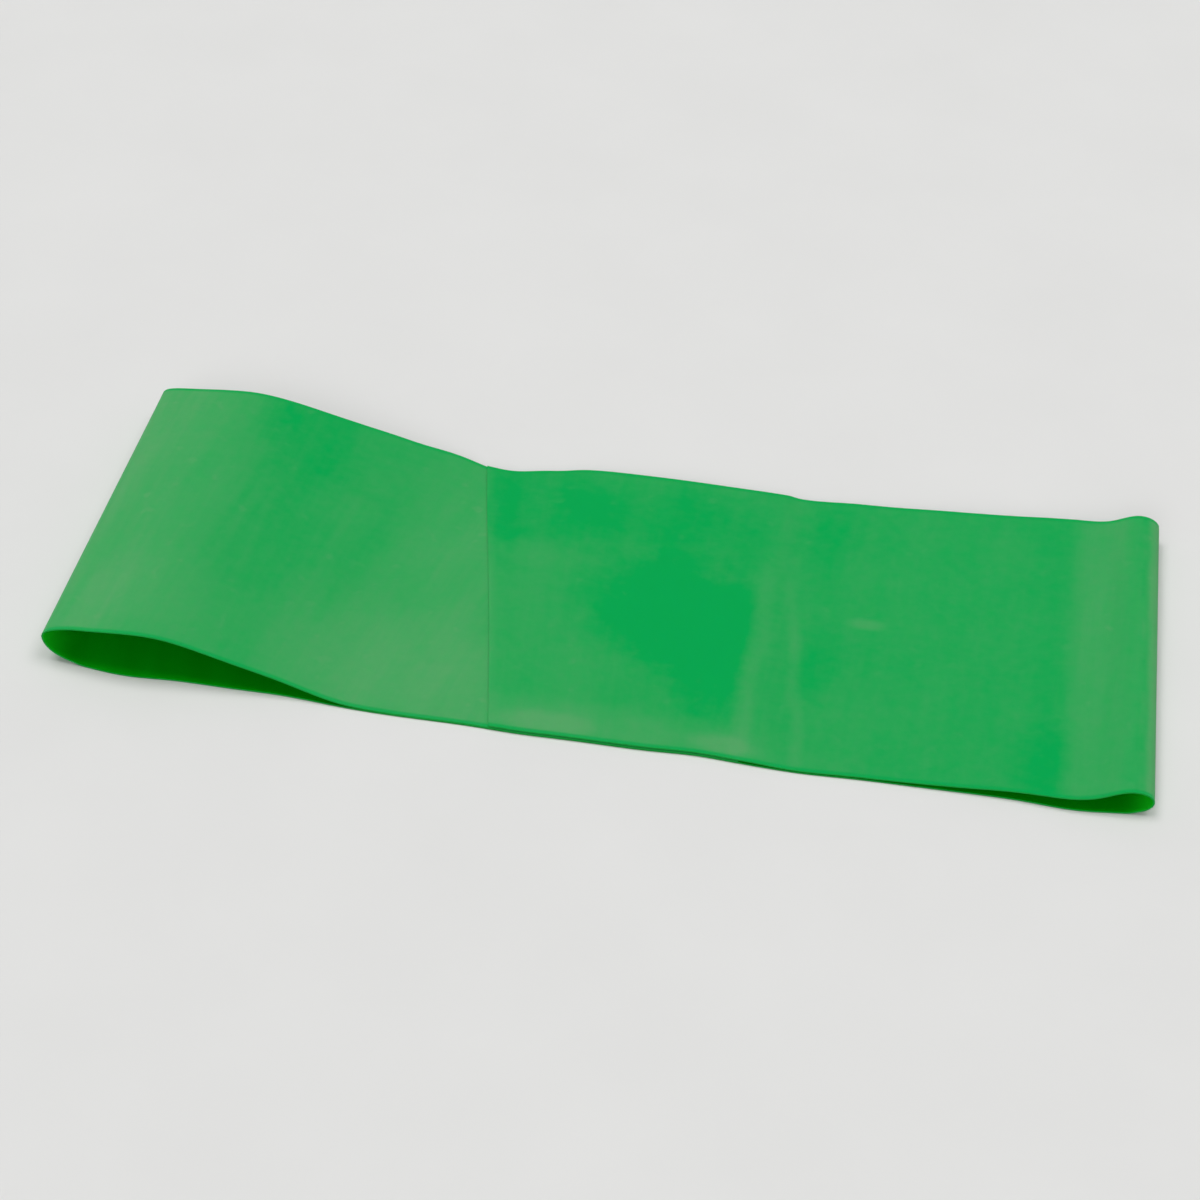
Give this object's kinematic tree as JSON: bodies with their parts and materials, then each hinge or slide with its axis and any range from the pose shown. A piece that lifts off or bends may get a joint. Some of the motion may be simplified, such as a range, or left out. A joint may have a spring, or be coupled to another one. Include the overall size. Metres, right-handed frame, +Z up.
{
  "type": "resistance band",
  "caption": "Closed-loop resistance band of thin green latex film, lying flat with its lapped, bonded ends on the upper ply and one end of the loop standing slightly open.",
  "frame": {"origin": "middle of the band's footprint, on the surface that it lies on", "axes": "+X along the loop towards the end that is pulled, +Y across its width, +Z up, away from the surface"},
  "size_m": [0.2032, 0.0762, 0.0101],
  "materials": {
    "latex_film": "satin translucent green latex film with a light dusting of powder",
    "rubber_cement": "dry clear rubber cement, hidden in the lap"
  },
  "bodies": {
    "held_side": {"lower_run": "latex_film", "held_turn": "latex_film", "inner_end": "latex_film", "bond_film": "rubber_cement", "outer_end": "latex_film"},
    "lifted_roof": {"mouth_roof": "latex_film"},
    "pulled_end": {"far_lower_run": "latex_film", "far_turn": "latex_film", "upper_run": "latex_film"}
  },
  "joints": [
    {"name": "stretch", "type": "slide", "parent": "held_side", "child": "pulled_end", "axis": [1, 0, 0], "range_m": [0, 0.2], "stiffness_N_per_m": 150},
    {"name": "mouth_lift", "type": "slide", "parent": "held_side", "child": "lifted_roof", "axis": [0, 0, 1], "range_m": [0, 0.04], "stiffness_N_per_m": 25}
  ]
}
